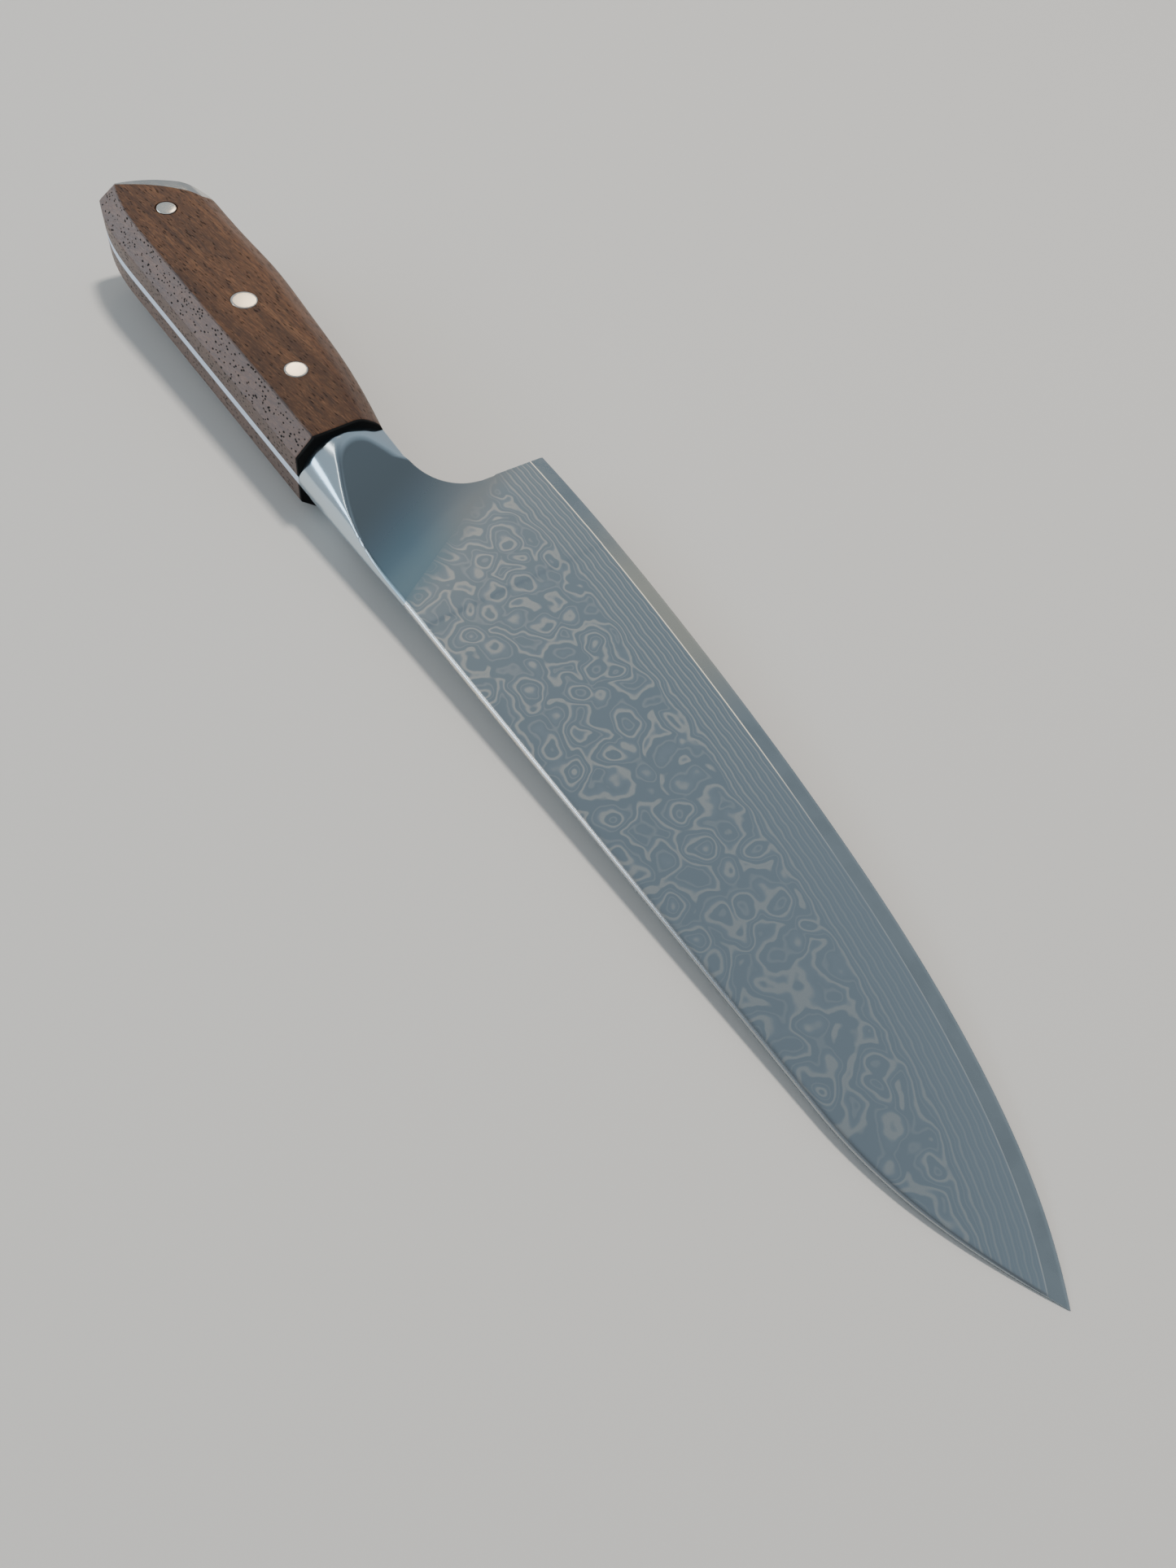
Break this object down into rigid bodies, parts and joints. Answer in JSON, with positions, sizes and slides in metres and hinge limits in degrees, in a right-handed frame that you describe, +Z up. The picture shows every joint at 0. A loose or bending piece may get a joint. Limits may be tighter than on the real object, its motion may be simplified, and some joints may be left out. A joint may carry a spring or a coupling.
{
  "type": "chef knife",
  "caption": "Laminated chef's knife with a patterned wide blade, a smooth forged bolster and full tang, riveted faceted wood scales, black spacers and a domed steel end cap.",
  "frame": {"origin": "on the surface the knife lies on, below the centre of its bounding box", "axes": "+X runs along the knife from the butt to the tip, +Y from the spine to the cutting edge, +Z up from the surface; the knife's left side faces up"},
  "size_m": [0.3308, 0.0532, 0.0261],
  "materials": {
    "core_steel": "satin, honed edge",
    "pattern_steel": "etched pattern-welded steel, satin blue grey with paler contour lines",
    "bolster_steel": "fine satin to polished",
    "walnut": "oiled walnut, satin",
    "spacer_black": "matte black fibre",
    "rivet_steel": "polished flush heads"
  },
  "bodies": {
    "root": {"blade_core": "core_steel", "cladding_left": "pattern_steel", "cladding_right": "pattern_steel", "bolster_tang": "bolster_steel", "end_cap": "bolster_steel", "scale_left": "walnut", "scale_right": "walnut", "spacer_left": "spacer_black", "spacer_right": "spacer_black", "front_rivet_tube": "rivet_steel", "front_rivet_shank": "rivet_steel", "middle_rivet_tube": "rivet_steel", "middle_rivet_shank": "rivet_steel", "rear_pin": "rivet_steel"}
  },
  "joints": []
}
